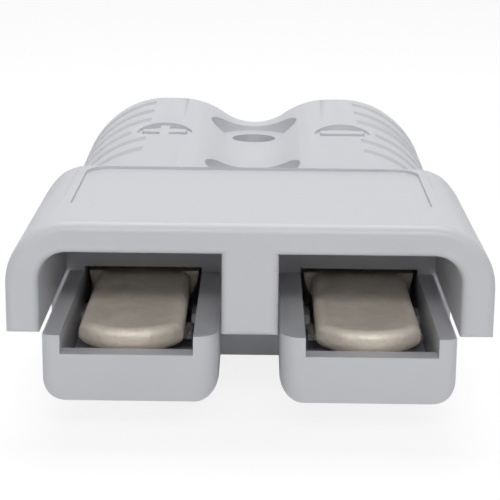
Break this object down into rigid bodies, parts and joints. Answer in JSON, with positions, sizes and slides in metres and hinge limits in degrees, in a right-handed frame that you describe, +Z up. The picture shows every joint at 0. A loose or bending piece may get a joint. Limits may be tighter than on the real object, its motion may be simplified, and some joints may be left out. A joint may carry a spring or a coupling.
{
  "type": "genderless power connector",
  "caption": "Genderless two-pole high-current battery connector: grey moulded housing with a hood over two trays, spring-backed crimp contacts and ribbed cable grip.",
  "frame": {"origin": "on the plane the housing lies on, under the middle of its length and width", "axes": "+Z up, away from the resting plane; -Y is the mating direction; the cables leave along +Y; X runs across the two poles, positive pole on -X"},
  "size_m": [0.056, 0.08, 0.0288],
  "materials": {
    "housing_plastic": "light cool grey polycarbonate, satin as moulded",
    "contact_metal": "silver-plated copper, tumbled, warm silver-grey",
    "spring_steel": "stainless strip"
  },
  "bodies": {
    "root": {"housing": "housing_plastic", "positive_contact": "contact_metal", "negative_contact": "contact_metal", "positive_spring": "spring_steel", "negative_spring": "spring_steel"}
  },
  "joints": []
}
